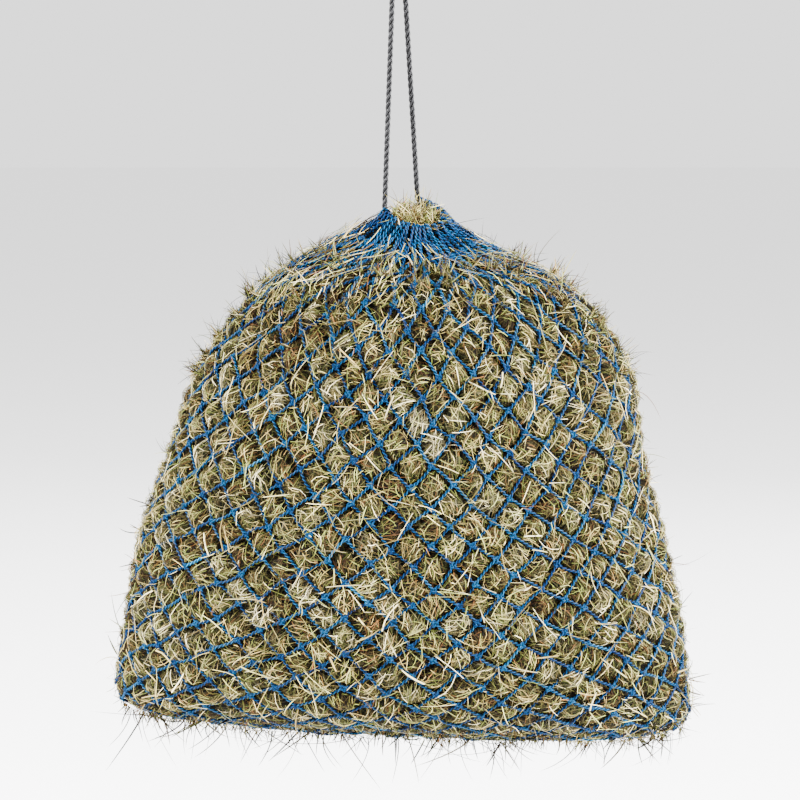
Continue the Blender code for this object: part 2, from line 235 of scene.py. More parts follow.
def row_stations():
    """The station of each row of knots on each half column, as rows x half columns.

    Every bar keeps its length, down to the courses that close evenly under the base.
    """
    turns = spread(np.arange(2 * COLUMNS) / (2 * COLUMNS))
    stations = np.linspace(0, LAST_STATION, DEPTH_STEPS)
    surface = bag_points(turns[:, None], stations[None, :])
    steps = np.linalg.norm(np.diff(surface, axis=1), axis=2)
    length = np.concatenate([np.zeros((len(turns), 1)), np.cumsum(steps, axis=1)], axis=1)
    gaps = np.linalg.norm(surface - np.roll(surface, 1, axis=0), axis=2)
    spacing = (gaps + np.roll(gaps, -1, axis=0)) / 2
    rows = [np.zeros(len(turns))]
    for course in range(COURSES_DOWN):
        bar = TOP_BAR if course == 0 else MESH_BAR
        here = [np.interp(at, reach, stations) for at, reach in zip(rows[-1], length)]
        half_mesh = np.array([np.interp(at, stations, half) for at, half in zip(here, spacing)])
        rows.append(rows[-1] + np.sqrt(bar**2 - np.minimum(half_mesh, MOST_SPREAD * bar) ** 2))
    left = length[:, -1] - rows[-1]
    rows += [rows[-1] + left * part for part in np.arange(1, BASE_COURSES + 1) / BASE_COURSES]
    return np.array([[np.interp(at, reach, stations) for at, reach in zip(row, length)] for row in rows])


ROWS = row_stations()
LAST_ROW = len(ROWS) - 1


def bunching(row):
    """How close together a row's knots are pulled towards the rope."""
    return 1 - GATHER * np.maximum(0, 1 - row / GATHERED_COURSES)


def knot_places(row):
    """The turns and stations of a row's knots."""
    half_column = 2 * np.arange(COLUMNS) + (1 if row % 2 == 0 else 0)
    from_middle = half_column / (2 * COLUMNS) - 0.5
    turns = spread(ROPE_MIDDLE + np.where(from_middle == -0.5, from_middle, bunching(row) * from_middle))
    nearest = round((ROPE_MIDDLE - 0.5) * 2 * COLUMNS) + half_column
    return turns, ROWS[row][nearest % (2 * COLUMNS)]


# The row, with its fraction, on each half column at evenly spaced stations
ROW_TABLE = np.array(
    [
        np.interp(np.linspace(0, LAST_STATION, DEPTH_STEPS), stations, np.arange(LAST_ROW + 1))
        for stations in ROWS.T
    ]
)


def row_at(turn, station):
    """The row, with its fraction, at a place on the bag."""
    half_column = (unspread(turn) % 1) * 2 * COLUMNS
    left = half_column.astype(int) % (2 * COLUMNS)
    part = half_column - np.floor(half_column)
    level = np.clip(station / LAST_STATION * (DEPTH_STEPS - 1), 0, DEPTH_STEPS - 1).astype(int)
    return (1 - part) * ROW_TABLE[left, level] + part * ROW_TABLE[(left + 1) % (2 * COLUMNS), level]


# Hay bulges out of each mesh like a pillow: its valley is measured from the netting, under the twine,
# and its rise from its valley, in the middle of the mesh.
PILLOW_RISE = 0.0140
PILLOW_VALLEY = -0.0075
PILLOW_ROUNDNESS = 0.55
FULL_PILLOW_ROW = 7
FLATTENED_ROWS = 15
LEAST_FULL = 0.3


def across_meshes(turn, station):
    """A place's row, and how many meshes it is across the two slants. The twine is at the halves."""
    row = row_at(turn, station)
    from_middle = (unspread(turn) - ROPE_MIDDLE + 0.5) % 1 - 0.5
    column = (from_middle / bunching(row) + 0.5) * COLUMNS
    return row, column + row / 2, column - row / 2


def fullness(turn, station):
    """How full of hay a place is: 1 in the middle of a mesh, and 0 at its twine."""
    row, rising, falling = across_meshes(turn, station)
    middle = np.abs(np.cos(math.pi * rising) * np.cos(math.pi * falling))
    full = np.clip(row / FULL_PILLOW_ROW, 0, 1) * np.clip((LAST_ROW - row) / FLATTENED_ROWS, LEAST_FULL, 1)
    return full * middle**PILLOW_ROUNDNESS


def of_mesh(values, turn, station):
    """The value, out of a table of them, for the mesh that each place is in."""
    _, rising, falling = across_meshes(turn, station)
    first = np.round(rising).astype(int) % values.shape[0]
    second = np.round(falling).astype(int) % values.shape[1]
    return values[first, second]


# --- Meshes ---------------------------------------------------------------------------------------

UV_LAYER = "OFBake"
UV_SPREAD = 0.004


def add_mesh(name, points, face_sets, uv, slot, body, replaced):
    """A smooth mesh piece that rides on a body and stands for CAD nodes. uv has a row for each point."""
    mesh = bpy.data.meshes.new(name)
    corners = np.concatenate([faces.ravel() for faces in face_sets]).astype(np.int32)
    sizes = np.concatenate([np.full(len(faces), faces.shape[1]) for faces in face_sets])
    mesh.vertices.add(len(points))
    mesh.vertices.foreach_set("co", points.astype(np.float32).ravel())
    mesh.loops.add(len(corners))
    mesh.loops.foreach_set("vertex_index", corners)
    mesh.polygons.add(len(sizes))
    mesh.polygons.foreach_set("loop_start", np.concatenate([[0], np.cumsum(sizes)[:-1]]).astype(np.int32))
    layer = mesh.uv_layers.new(name=UV_LAYER)
    layer.data.foreach_set("uv", uv[corners].astype(np.float32).ravel())
    mesh.update(calc_edges=True)
    mesh.shade_smooth()
    mesh.materials.append(MATERIALS[slot])
    piece = bpy.data.objects.new(name, mesh)
    collection.objects.link(piece)
    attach(piece, body)
    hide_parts(*replaced)
    return piece


def tubes(lines, across, width, thickness, sides, hue, light):
    """Closed tubes along lines (count x places x 3), each from a point at one end to a point at the other.

    across is the direction of a tube's width. Width and thickness are half of the full ones, and they,
    hue and light are arrays that broadcast to count x places x sides.
    """
    count, places = lines.shape[:2]
    tangent = unit(lines[:, 2:] - lines[:, :-2])
    side = np.broadcast_to(across, lines.shape)[:, 1:-1]
    side = unit(side - (side * tangent).sum(axis=-1, keepdims=True) * tangent)
    up = np.cross(tangent, side)
    shape = (count, places, sides)
    width, thickness, hue, light = (np.broadcast_to(v, shape) for v in (width, thickness, hue, light))
    angle = math.tau * np.arange(sides) / sides
    along_side = (np.cos(angle) * width[:, 1:-1])[..., None] * side[:, :, None]
    along_up = (np.sin(angle) * thickness[:, 1:-1])[..., None] * up[:, :, None]
    rings = (lines[:, 1:-1, None] + along_side + along_up).reshape(count, -1, 3)
    points = np.concatenate([lines[:, :1], rings, lines[:, -1:]], axis=1)
    uv = np.stack([hue + UV_SPREAD * np.cos(angle), light + UV_SPREAD * np.sin(angle)], axis=-1)
    uv_rings = uv[:, 1:-1].reshape(count, -1, 2)
    uv = np.concatenate([uv[:, :1, 0], uv_rings, uv[:, -1:, 0]], axis=1)
    index = 1 + np.arange((places - 2) * sides).reshape(places - 2, sides)
    onward = np.roll(index, -1, axis=1)
    last = (places - 2) * sides + 1
    quads = np.stack([index[:-1], onward[:-1], onward[1:], index[1:]], axis=-1).reshape(-1, 4)
    start = np.stack([np.zeros(sides, int), onward[0], index[0]], axis=-1)
    end = np.stack([np.full(sides, last), index[-1], onward[-1]], axis=-1)
    offsets = (last + 1) * np.arange(count)[:, None, None]
    quads = (quads + offsets).reshape(-1, 4)
    triangles = (np.concatenate([start, end]) + offsets).reshape(-1, 3)
    return points.reshape(-1, 3), [quads, triangles], uv.reshape(-1, 2)


def joined(parts):
    """Several sets of points, faces and UVs as one."""
    points, faces, uv = [], [], []
    total = 0
    for part_points, part_faces, part_uv in parts:
        faces += [face_set + total for face_set in part_faces]
        points.append(part_points)
        uv.append(part_uv)
        total += len(part_points)
    return np.concatenate(points), faces, np.concatenate(uv)


# --- Materials ------------------------------------------------------------------------------------

# The LIGHTS ramps scale each hue by v: low stops are painted shade, stops above 1 painted highlights.
ROPE_HUES = ((0.0, (0.0020, 0.0020, 0.0024)), (0.5, (0.0045, 0.0045, 0.0050)), (1.0, (0.012, 0.012, 0.013)))
ROPE_LIGHTS = ((0.0, 0.35), (1.0, 1.6))
TWINE_HUES = (
    (0.0, (0.0003, 0.007, 0.034)),
    (0.45, (0.0010, 0.017, 0.050)),
    (0.85, (0.0024, 0.036, 0.082)),
    (1.0, (0.0060, 0.090, 0.180)),
)
# The top stop, far above 1, paints bright highlights on the twine's crests
TWINE_LIGHTS = ((0.0, 0.05), (0.5, 0.30), (0.8, 1.1), (1.0, 5.2))
HAY_HUES = (
    (0.00, (0.055, 0.028, 0.012)),
    (0.10, (0.240, 0.098, 0.030)),
    (0.20, (0.088, 0.110, 0.022)),
    (0.34, (0.185, 0.205, 0.044)),
    (0.46, (0.300, 0.210, 0.070)),
    (0.60, (0.400, 0.310, 0.115)),
    (0.74, (0.285, 0.315, 0.092)),
    (0.86, (0.600, 0.495, 0.230)),
    (1.00, (0.860, 0.760, 0.460)),
)
# Near black at the bottom, for painted shade deep in the hay, and above 1 at the top, for painted highlights
HAY_LIGHTS = ((0.0, 0.002), (0.3, 0.025), (0.6, 0.17), (0.85, 0.75), (1.0, 1.5))


def add_ramp(tree, stops, source):
    ramp = tree.nodes.new("ShaderNodeValToRGB")
    elements = ramp.color_ramp.elements
    while len(elements) < len(stops):
        elements.new(0.5)
    for element, (position, value) in zip(elements, stops):
        element.position = position
        colour = value if isinstance(value, tuple) else (value,) * 3
        element.color = (*colour, 1)
    tree.links.new(source, ramp.inputs["Fac"])
    return ramp.outputs["Color"]


def add_material(name, hues, lights, roughness, specular):
    """A surface whose hue follows the UV layer's u and whose lightness, painted light and shade, follows its
    v.
    """
    made = bpy.data.materials.new(name)
    made.use_nodes = True
    tree = made.node_tree
    shader = tree.nodes["Principled BSDF"]
    uv = tree.nodes.new("ShaderNodeUVMap")
    uv.uv_map = UV_LAYER
    parts = tree.nodes.new("ShaderNodeSeparateXYZ")
    tree.links.new(uv.outputs["UV"], parts.inputs["Vector"])
    mix = tree.nodes.new("ShaderNodeMix")
    mix.data_type = "RGBA"
    mix.blend_type = "MULTIPLY"
    mix.inputs["Factor"].default_value = 1
    tree.links.new(add_ramp(tree, hues, parts.outputs["X"]), mix.inputs["A"])
    tree.links.new(add_ramp(tree, lights, parts.outputs["Y"]), mix.inputs["B"])
    tree.links.new(mix.outputs["Result"], shader.inputs["Base Color"])
    shader.inputs["Roughness"].default_value = roughness
    shader.inputs["Specular IOR Level"].default_value = specular
    return made


MATERIALS = {
    "draw_rope_black": add_material("laid_rope", ROPE_HUES, ROPE_LIGHTS, 0.34, 0.12),
    "net_twine_blue": add_material("twisted_twine", TWINE_HUES, TWINE_LIGHTS, 0.40, 0.04),
    "hay": add_material("loose_hay", HAY_HUES, HAY_LIGHTS, 0.55, 0.04),
}


# --- Draw rope ------------------------------------------------------------------------------------

STRANDS = 3
# Strands of this radius touch one another and fill the rope's width
STRAND_RADIUS = ROPE_RADIUS / (1 + 1 / math.sin(math.pi / STRANDS))
LAY_LENGTH = 0.027
ROPE_STEP = LAY_LENGTH / 16
ROPE_SIDES = 8
ROPE_HUE_RANGE = (0.1, 0.9)
# Painted shading round the rope's strands and the knots' twine: its middle and its swing
ROUND_SHADING_MIDDLE = 0.5
ROUND_SHADING_SWING = 0.35
STARTING_SIDE = (0.31, 0.95, 0.05)


def parallel_sides(points):
    """A direction across a line at each of its points, turning no more than the line does."""
    tangent = unit(np.gradient(points, axis=0))
    side = np.cross(tangent[0], STARTING_SIDE)
    sides = []
    for ahead in tangent:
        side = side - np.dot(side, ahead) * ahead
        side = side / np.linalg.norm(side)
        sides.append(side)
    return np.array(sides), np.cross(tangent, sides)


def painted_round_shading(sides):
    """Painted light and shade round a section, at each of its sides: lightest where it faces out."""
    return ROUND_SHADING_MIDDLE + ROUND_SHADING_SWING * np.cos(math.tau * np.arange(sides) / sides)


def laid_rope(route):
    """A rope of twisted strands along a route, as points, faces and UVs, and its middle line."""
    middle = even_points(route, ROPE_STEP)
    side, up = parallel_sides(middle)
    along = ROPE_STEP * np.arange(len(middle))
    # Painted highlights on the strands' outer faces, and painted shade where they press together
    light = painted_round_shading(ROPE_SIDES)
    strands = []
    for number in range(STRANDS):
        angle = math.tau * (along / LAY_LENGTH + number / STRANDS)
        out = np.cos(angle)[:, None] * side + np.sin(angle)[:, None] * up
        line = middle + (ROPE_RADIUS - STRAND_RADIUS) * out
        hue = rng.uniform(*ROPE_HUE_RANGE, (1, len(line), 1))
        strands.append(tubes(line[None], out[None], STRAND_RADIUS, STRAND_RADIUS, ROPE_SIDES, hue, light))
    return joined(strands), middle


def rim_points(turn):
    """Points on the middle line of the draw rope round the mouth."""
    return bag_points(turn, np.zeros_like(np.asarray(turn, float)))


LEFT_FOOT, RIGHT_FOOT = (rim_points(turn) + [0, 0, FOOT_RISE] for turn in ROPE_TURNS)
LOOP_DROP = 0.065
LOOP_HALF_WIDTH = 0.015
LOOP_SHAPE = ((0.30, 0.88), (0.75, 0.62), (1.00, 0.30), (0.80, 0.06))
KNOT_TURNS = 3
KNOT_RADIUS = 0.011
KNOT_HALF_HEIGHT = KNOT_TURNS * ROPE_RADIUS
PLACES_PER_KNOT_TURN = 16
TUCKED_TURNS = 0.25
TUCKED_RADIUS = 0.3
PARTING = ROPE_RADIUS + 2 * GAP
LEG_OVERLAP = 0.004
TUCK = 0.4 * KNOT_HALF_HEIGHT


def add_rope(name, route, body, replaced):
    (points, faces, uv), middle = laid_rope(route)
    return add_mesh(name, points, faces, uv, "draw_rope_black", body, replaced), middle


def add_leg(name, foot, side):
    """A leg of the draw rope, from the mouth up into the knot."""
    top = np.array([side * PARTING, 0, -LOOP_DROP - TUCK])
    route = [foot - LEG_OVERLAP * unit(top - foot), top]
    leg, middle = add_rope(name + "_laid", route, "rope_legs", [name])


def loop_route():
    """A drop-shaped loop that leaves the knot on one side and comes back to it on the other."""
    base = -LOOP_DROP + TUCK
    left_side = [(-PARTING, 0, base)]
    left_side += [(-width * LOOP_HALF_WIDTH, 0, depth * base) for width, depth in LOOP_SHAPE]
    right_side = [(-x, y, z) for x, y, z in reversed(left_side)]
    return [*left_side, (0, 0, ROPE_RADIUS), *right_side]


def knot_route():
    """Turns of rope round the two parts of the line, with both ends tucked in."""
    turn = np.linspace(0, KNOT_TURNS, PLACES_PER_KNOT_TURN * KNOT_TURNS + 1)
    angle = math.tau * turn
    untucked = np.minimum(np.minimum(turn, KNOT_TURNS - turn) / TUCKED_TURNS, 1)
    radius = (KNOT_RADIUS - ROPE_RADIUS) * (TUCKED_RADIUS + (1 - TUCKED_RADIUS) * untucked)
    height = (KNOT_HALF_HEIGHT - ROPE_RADIUS) * (1 - 2 * turn / KNOT_TURNS) - LOOP_DROP
    return np.column_stack([radius * np.sin(angle), -radius * np.cos(angle), height])


def add_hanging_rope():
    loop, middle = add_rope("hang_loop_laid", loop_route(), "hanger", ["hang_loop"])
    add_rope("hang_knot_laid", knot_route(), "knot", ["hang_knot"])
    add_leg("rope_leg_left", LEFT_FOOT, -1)
    add_leg("rope_leg_right", RIGHT_FOOT, 1)


def add_draw_rope():
    """From the left foot along the front, the right and the back of the mouth, to the right foot."""
    start, end = ROPE_TURNS
    along = np.linspace(start + FOOT_TURN, end - FOOT_TURN, ROPE_POINTS)
    bend = np.array([0, 0, FOOT_RISE / 2])
    route = [LEFT_FOOT, LEFT_FOOT - bend, *rim_points(along), RIGHT_FOOT - bend, RIGHT_FOOT]
    add_rope("draw_rope_laid", route, "net", ["draw_rope"])


add_hanging_rope()
add_draw_rope()


# --- Netting --------------------------------------------------------------------------------------

TWINE_HALF_WIDTH = 0.0020
TWINE_HALF_THICKNESS = 0.0013
TWINE_PITCH = 0.0062
TWINE_SIDES = 4
BAR_PLACES = 34
BAR_SLACK = 0.0012
LOOP_SPREAD = 1.10
LOOP_WANDER = 0.010
LOOP_PAIRING = 0.005
LOOP_NECK = (0.15, 0.75)
KNOT_WANDER = 0.0024
FIRST_WANDERING_ROW = 3
KNOT_SIZE = 0.00125
KNOT_SIZES = (0.9, 1.15)
KNOT_STRETCH = 1.15
KNOT_RISE = 1.1
KNOT_PLACES = 22
KNOT_TWINE = 0.00125
KNOT_TWINE_SIDES = 5
KNOT_SHADE = 0.05
NUDGE = 1e-6
KNOT_HUE_RANGE = (0.15, 0.8)
TWINE_HUE = 0.45
TWINE_HUE_STRAY = 0.2
TWINE_HUE_RANGE = (0.02, 0.98)
# Painted shade in the grooves between the plies and painted highlights on their crests
PLY_GROOVE_SHADE = 0.12
PLY_CREST_HIGHLIGHT = 0.95
NET_BANDS = ((1, 5), (6, 12), (13, 19), (20, 26), (27, 30), (31, COURSES_DOWN + BASE_COURSES))


def knot_centres():
    """Each row's knots: where they are, and the direction out of the bag there."""
    centres, outward = [], []
    for row in range(LAST_ROW + 1):
        turns, stations = knot_places(row)
        normals = bag_normals(turns, stations)
        stray = rng.normal(0, KNOT_WANDER, (COLUMNS, 3))
        stray -= (stray * normals).sum(axis=1, keepdims=True) * normals
        centres.append(bag_points(turns, stations) + min(1, row / FIRST_WANDERING_ROW) * stray)
        outward.append(normals)
    return np.array(centres), np.array(outward)


def twisted(lines, outward, hue):
    """Two-ply twine along lines: a flattened section that turns as it goes."""
    steps = np.linalg.norm(np.diff(lines, axis=1), axis=2)
    along = np.concatenate([np.zeros((len(lines), 1)), np.cumsum(steps, axis=1)], axis=1)
    angle = math.pi * along / TWINE_PITCH + rng.uniform(0, math.pi, (len(lines), 1))
    tangent = unit(np.gradient(lines, axis=1))
    up = unit(outward - (outward * tangent).sum(axis=-1, keepdims=True) * tangent)
    side = np.cross(tangent, up)
    across = np.cos(angle)[..., None] * side + np.sin(angle)[..., None] * up
    # Painted light: each ply's crest is painted as a highlight, and the groove between plies as shade
    crest = np.abs(np.cos(math.tau * np.arange(TWINE_SIDES) / TWINE_SIDES))
    light = PLY_GROOVE_SHADE + (PLY_CREST_HIGHLIGHT - PLY_GROOVE_SHADE) * crest
    return tubes(lines, across, TWINE_HALF_WIDTH, TWINE_HALF_THICKNESS, TWINE_SIDES, hue, light)


def bar_lines(upper, lower):
    """Slightly slack lines from upper to lower knots."""
    part = np.linspace(0, 1, BAR_PLACES)[:, None]
    slack = rng.normal(0, BAR_SLACK, (len(upper), 1, 3)) * np.sin(math.pi * part)
    return upper[:, None] + (lower - upper)[:, None] * part + slack


def top_loops(knots, outward):
    """The first course: each mesh loops over the draw rope and comes back under it.

    The loops bunch, so they are a little off their even places. The first one goes round the other way,
    so that both twines from the seam pass under the rope's ends. Returns lines and the directions out.
    """
    turns = ROPE_MIDDLE + LOOP_SPREAD * (knot_places(0)[0] - ROPE_MIDDLE)
    turns += rng.uniform(-LOOP_WANDER, LOOP_WANDER, COLUMNS)
    turns += np.where(np.arange(COLUMNS) % 2 == 0, LOOP_PAIRING, -LOOP_PAIRING)
    centre = rim_points(turns)
    along = unit(rim_points(turns + TURN_STEP) - rim_points(turns - TURN_STEP))
    pull = bag_points(turns, np.ones_like(turns)) - centre
    pull = unit(pull - (pull * along).sum(axis=1, keepdims=True) * along)
    over = np.cross(pull, along)
    clear = ROPE_RADIUS + TWINE_RADIUS
    over[0] *= -1
    lines, directions = [], []
    for loop in range(COLUMNS):
        ahead = (loop + 1) % COLUMNS
        middle, up, down = centre[loop], over[loop], pull[loop]
        start, end = outward[loop], -outward[ahead]
        neck = middle + rng.uniform(*LOOP_NECK) * ((knots[loop] + knots[ahead]) / 2 - middle)
        beside = TWINE_HALF_WIDTH * unit(knots[ahead] - knots[loop])
        round_rope = [middle + clear * up, middle - clear * down, middle - clear * up]
        route = [knots[loop], neck - beside, *round_rope, neck + beside, knots[ahead]]
        facing = [start, start + up, up, -down, -up, end - up, end]
        places = np.linspace(0, len(route) - 1, 2 * BAR_PLACES)
        lines.append(catmull_rom(route, places))
        directions.append(catmull_rom(facing, places))
    return np.array(lines), np.array(directions)


def knots_of(centres, outward):
    """Tight knots of twine: a three-lobed knot curve, flattened against the bag."""
    angle = np.linspace(0, math.tau, KNOT_PLACES)
    curve = np.column_stack(
        [np.sin(angle) + 2 * np.sin(2 * angle), np.cos(angle) - 2 * np.cos(2 * angle), -np.sin(3 * angle)]
    )
    spin = rng.uniform(0, math.tau, len(centres))
    down = unit(np.cross(outward, np.cross((0, 0, -1), outward)) + NUDGE)
    side = np.cross(down, outward)
    across = np.cos(spin)[:, None] * side + np.sin(spin)[:, None] * down
    along = np.cross(outward, across)
    size = KNOT_SIZE * rng.uniform(*KNOT_SIZES, (len(centres), 1, 1))
    axes = np.stack([across, KNOT_STRETCH * along, KNOT_RISE * outward], axis=1)
    lines = centres[:, None] + size * np.einsum("pa,nax->npx", curve, axes)
    hue = rng.uniform(*KNOT_HUE_RANGE, (len(centres), 1, 1))
    facing = np.broadcast_to(outward[:, None], lines.shape)
    # Painted light on the knots: lightest where they face out of the bag, and all darker by a painted shade
    light = painted_round_shading(KNOT_TWINE_SIDES) - KNOT_SHADE
    return tubes(lines, facing, KNOT_TWINE, KNOT_TWINE, KNOT_TWINE_SIDES, hue, light)


def course(number, centres, outward):
    """The twine between two rows of knots, and the lower row's knots."""
    row = number - 1
    if number == 1:
        lines, facing = top_loops(centres[1], outward[1])
    else:
        beside = -1 if row % 2 == 0 else 1
        lines = np.concatenate(
            [
                bar_lines(centres[row], centres[row + 1]),
                bar_lines(centres[row], np.roll(centres[row + 1], beside, axis=0)),
            ]
        )
        facing = np.broadcast_to(np.tile(outward[row], (2, 1))[:, None], lines.shape)
    hue = np.clip(rng.normal(TWINE_HUE, TWINE_HUE_STRAY, (len(lines), 1, 1)), *TWINE_HUE_RANGE)
    return joined([twisted(lines, facing, hue), knots_of(centres[row + 1], outward[row + 1])])


def add_netting():
    centres, outward = knot_centres()
    for first, last in NET_BANDS:
        parts = [course(number, centres, outward) for number in range(first, last + 1)]
        if first > COURSES_DOWN:
            replaced = ["net_base"]
        else:
            replaced = [f"net_course_{number:02d}" for number in range(first, last + 1)]
        add_mesh(f"netting_{first:02d}_{last:02d}", *joined(parts), "net_twine_blue", "net", replaced)


add_netting()


# --- Hay ------------------------------------------------------------------------------------------

HAY_NODES = ["hay_tuft"] + [f"hay_flake_{number}" for number in range(1, 7)]
CORE_COLUMNS, CORE_LEVELS = 288, 170
CORE_INSET = 0.005
CORE_MOUTH_INSET = 0.009
CORE_LID_RISE = 0.004
CORE_HUE_RANGE = (0.05, 0.5)
# Painted shade: the core is near black, darkest in the pillows' valleys under the twine, and its two caps
# dark too
CORE_VALLEY_SHADE = 0.02
CORE_CREST_SHADE = 0.12
CORE_LID_UV = (0.3, 0.1)
STRAW_SIDES = 3
STRAW_PLACES = np.array([-0.5, -0.45, -0.15, 0.16, 0.44, 0.5])
STRAW_TAPER = np.array([0, 1, 1, 1, 0.8, 0])[:, None]
STRAW_FLATNESS = 0.55
STALK_PLACES = np.linspace(0, 1, 8)[:, None]
STALK_TAPER = np.array([0, 1, 1, 0.95, 0.85, 0.7, 0.5, 0])[:, None]
# The place along each straw whose height sorts it into a piece
SORTING_PLACE = 2
PIECE_TRIANGLES = 195000
ROOM_SHARE = 0.029
ROOM_MARGIN = 0.009
STRAY = 0.75
GATHERED_STRAY = 0.5
CLUMP_TURN = 0.006
GATHERED_STATION = 2.6
PACKED_CURL = 40
LOOSE_CURL = 9
STALK_CURL = 44
TUFT_CURL = 35
PACKED_TILT = 0.12
LOOSE_TILT = 0.08
LOOSE_CREST = (0.55, 0.30)
EMPTIEST = 0.8
LEAST_LIGHT = 0.35
LEAST_LENGTH = 0.5
LEAST_TURN_LENGTH = 0.15
END_MARGIN = 0.02
TUFT_OFFSET = (0.004, 0.0, -0.001)
TUFT_DEPTH = (-0.010, 0.004)
TUFT_FLATTENING = (1, 1, 0.5)
TUFT_WIDTH = (0.0007, 0.0015)
WISP_ROOT = 0.002
SCATTER_TURNS, SCATTER_STATIONS = 240, 300
# Meshes take their hay's heading and tint from these. Their sizes share no factor, so no row repeats.
MESH_TABLE = (97, 89)
MESH_HEADINGS = rng.uniform(0, math.pi, MESH_TABLE)
MESH_TINTS = rng.normal(-0.03, 0.14, MESH_TABLE)


def scattered(count, low=0.0, high=float(LAST_STATION)):
    """Places spread evenly over the bag's surface, between two stations."""
    turns = (np.arange(SCATTER_TURNS) + 0.5) / SCATTER_TURNS
    stations = np.linspace(low, high, SCATTER_STATIONS + 1)
    stations = (stations[1:] + stations[:-1]) / 2
    around, down = bag_slopes(*np.meshgrid(turns, stations, indexing="ij"))
    area = np.linalg.norm(np.cross(around, down), axis=-1).ravel()
    pick = rng.choice(len(area), count, p=area / area.sum())
    turn = turns[pick // SCATTER_STATIONS] + rng.uniform(-0.5, 0.5, count) / SCATTER_TURNS
    step = (high - low) / SCATTER_STATIONS
    station = stations[pick % SCATTER_STATIONS] + rng.uniform(-0.5, 0.5, count) * step
    return turn, station


def straw_places(turn, station, length, curl, heading):
    """The turns, stations and lengths along curved straws through places, with the given headings."""
    around, down = bag_slopes(turn, station)
    heading = heading[:, None]
    along = STRAW_PLACES * rng.uniform(*length, (len(turn), 1))
    bend = rng.normal(0, curl, (len(turn), 1)) * along**2 / 2
    x = along * np.cos(heading) - bend * np.sin(heading)
    y = along * np.sin(heading) + bend * np.cos(heading)
    turns = turn[:, None] + x / np.maximum(np.linalg.norm(around, axis=1), LEAST_TURN_LENGTH)[:, None]
    stations = station[:, None] + y / np.linalg.norm(down, axis=1)[:, None]
    return turns, np.clip(stations, END_MARGIN, LAST_STATION - END_MARGIN), along


def straw_arrays(turns, stations, height, width, hue, light):
    """Straws at a height over the netting, as the arrays that add_straws joins."""
    normals = bag_normals(turns, stations)
    lines = bag_points(turns, stations) + height[..., None] * normals
    count = len(turns)
    half_width = rng.uniform(*width, (count, 1, 1)) / 2 * STRAW_TAPER
    across = np.cross(normals, lines[:, 3:4] - lines[:, 2:3])
    return lines, across, half_width, hue, np.broadcast_to(light, half_width.shape)


def packed_straws(count, length, width, lift, hue, light):
    """Straws inside the meshes. They bulge out in the middle of a mesh and dip under its twine.

    Length, width, lift and hue are (lowest, highest), and light runs from the lowest straws to the
    highest: the lower a straw lies, the darker it is painted, as shade deep in the hay.
    """
    turn, station = scattered(3 * count)
    inside = fullness(turn, station) > rng.uniform(0, EMPTIEST, 3 * count)
    turn, station = turn[inside][:count], station[inside][:count]
    heading = of_mesh(MESH_HEADINGS, turn, station) + rng.normal(0, STRAY, len(turn))
    turns, stations, along = straw_places(turn, station, length, PACKED_CURL, heading)
    share = rng.uniform(0, 1, (len(turn), 1))
    raised = lift[0] + (lift[1] - lift[0]) * share + rng.normal(0, PACKED_TILT, share.shape) * along
    height = PILLOW_VALLEY + fullness(turns, stations) * (PILLOW_RISE + raised)
    # Painted shade: the lower a straw lies, the darker it is, with some tone that differs at random
    lightness = light[0] + (light[1] - light[0]) * share * rng.uniform(LEAST_LIGHT, 1, share.shape)
    tint = np.clip(rng.uniform(*hue, len(turn)) + of_mesh(MESH_TINTS, turn, station), 0, 1)
    return straw_arrays(turns, stations, height, width, tint[:, None, None], lightness[..., None])


def loose_straws(count, length, width, lift, hue, light, low=0.5, high=float(LAST_STATION)):
    """Straws that lie across meshes and twine, between two stations.

    Where the netting is gathered they run down the bag, and below there they run any way.
    """
    turn, station = scattered(count, low, high)
    down_bag = rng.normal(math.pi / 2, GATHERED_STRAY, count)
    heading = np.where(station < GATHERED_STATION, down_bag, rng.uniform(0, math.tau, count))
    turns, stations, along = straw_places(turn, station, length, LOOSE_CURL, heading)
    crest = LOOSE_CREST[0] + LOOSE_CREST[1] * fullness(turns, stations)
    height = PILLOW_VALLEY + crest * PILLOW_RISE + rng.uniform(*lift, (count, 1))
    height = height + rng.normal(0, LOOSE_TILT, (count, 1)) * along
    tint = rng.uniform(*hue, (count, 1, 1))
    return straw_arrays(turns, stations, height, width, tint, rng.uniform(*light, (count, 1, 1)))


def kept_inside(lines):
    """Shortens stalks, from their roots, that would reach out of the CAD parts' box, grown by a share of its
    size and a margin.
    """
    low, high = (np.array(corner) for corner in cad_box)
    spare = ROOM_SHARE * (high - low) + ROOM_MARGIN
    low, high = low - spare, high + spare
    root = lines[:, :1]
    reach = lines - root
    room = np.where(reach > 0, high - root, low - root)
    share = np.abs(room) / np.maximum(np.abs(reach), TINY)
    return root + reach * np.minimum(share.min(axis=(1, 2), keepdims=True), 1)


def stalks(roots, directions, length, width, curl, hue, light):
    """Thin curved stalks from their roots, in the given directions."""
    each = (len(roots), 1, 1)
    size = rng.uniform(*length, each) * rng.uniform(LEAST_LENGTH, 1, each)
    aside = unit(np.cross(directions, rng.normal(0, 1, directions.shape)))[:, None]
    bend = aside * rng.normal(0, curl, each)
    along = STALK_PLACES * size
    lines = kept_inside(roots[:, None] + along * directions[:, None] + bend * along**2 / 2)
    half_width = rng.uniform(*width, each) / 2 * STALK_TAPER
    across = np.broadcast_to(np.cross(directions, bend[:, 0])[:, None], lines.shape)
    hues = rng.uniform(*hue, each)
    return lines, across, half_width, hues, np.broadcast_to(rng.uniform(*light, each), half_width.shape)


